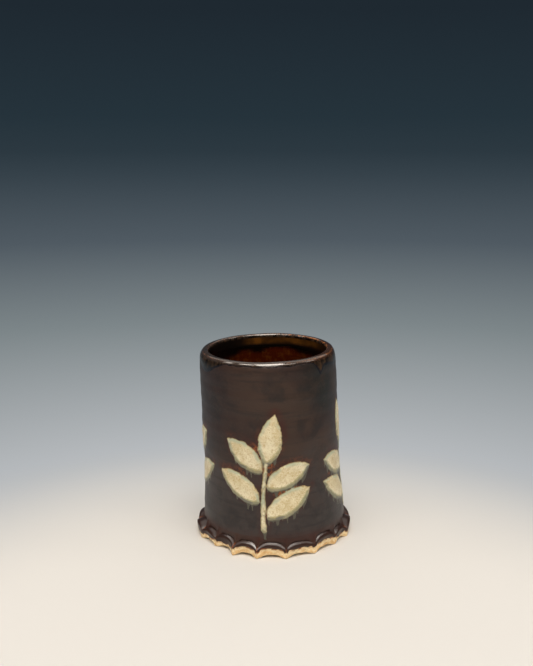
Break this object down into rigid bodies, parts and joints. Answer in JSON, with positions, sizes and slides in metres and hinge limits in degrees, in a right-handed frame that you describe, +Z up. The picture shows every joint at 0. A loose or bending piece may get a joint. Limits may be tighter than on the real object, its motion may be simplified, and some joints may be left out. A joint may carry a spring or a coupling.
{
  "type": "ceramic tumbler",
  "caption": "Handmade stoneware tumbler without a handle: a slightly leaning glazed cylinder on a wider base with a scooped, scalloped edge, for drinks.",
  "frame": {"origin": "centre of the flat underside of the base slab, on the surface that the tumbler stands on", "axes": "+Z up, out of the mouth; -Y is the side that the picture shows; the wall leans a little towards -X"},
  "size_m": [0.0926, 0.0922, 0.1115],
  "materials": {
    "bare_clay": "bare fired stoneware, matt",
    "dark_glaze": "dark brown-grey satin glaze",
    "rim_glaze": "amber-brown gloss glaze",
    "liner_glaze": "dark red-brown gloss glaze",
    "cream_glaze": "cream satin glaze, green where thin"
  },
  "bodies": {
    "root": {"base_slab": "bare_clay", "clay_wall": "bare_clay", "corner_coil": "bare_clay", "liner_glaze": "liner_glaze", "rim_glaze": "rim_glaze", "wall_glaze": "dark_glaze", "sprig_1_stem": "cream_glaze", "sprig_1_leaf_1": "cream_glaze", "sprig_1_leaf_2": "cream_glaze", "sprig_1_leaf_3": "cream_glaze", "sprig_1_leaf_4": "cream_glaze", "sprig_1_leaf_tip": "cream_glaze", "sprig_2_stem": "cream_glaze", "sprig_2_leaf_1": "cream_glaze", "sprig_2_leaf_2": "cream_glaze", "sprig_2_leaf_3": "cream_glaze", "sprig_2_leaf_4": "cream_glaze", "sprig_2_leaf_tip": "cream_glaze", "sprig_3_stem": "cream_glaze", "sprig_3_leaf_1": "cream_glaze", "sprig_3_leaf_2": "cream_glaze", "sprig_3_leaf_3": "cream_glaze", "sprig_3_leaf_4": "cream_glaze", "sprig_3_leaf_tip": "cream_glaze", "sprig_4_stem": "cream_glaze", "sprig_4_leaf_1": "cream_glaze", "sprig_4_leaf_2": "cream_glaze", "sprig_4_leaf_3": "cream_glaze", "sprig_4_leaf_4": "cream_glaze", "sprig_4_leaf_tip": "cream_glaze"}
  },
  "joints": []
}
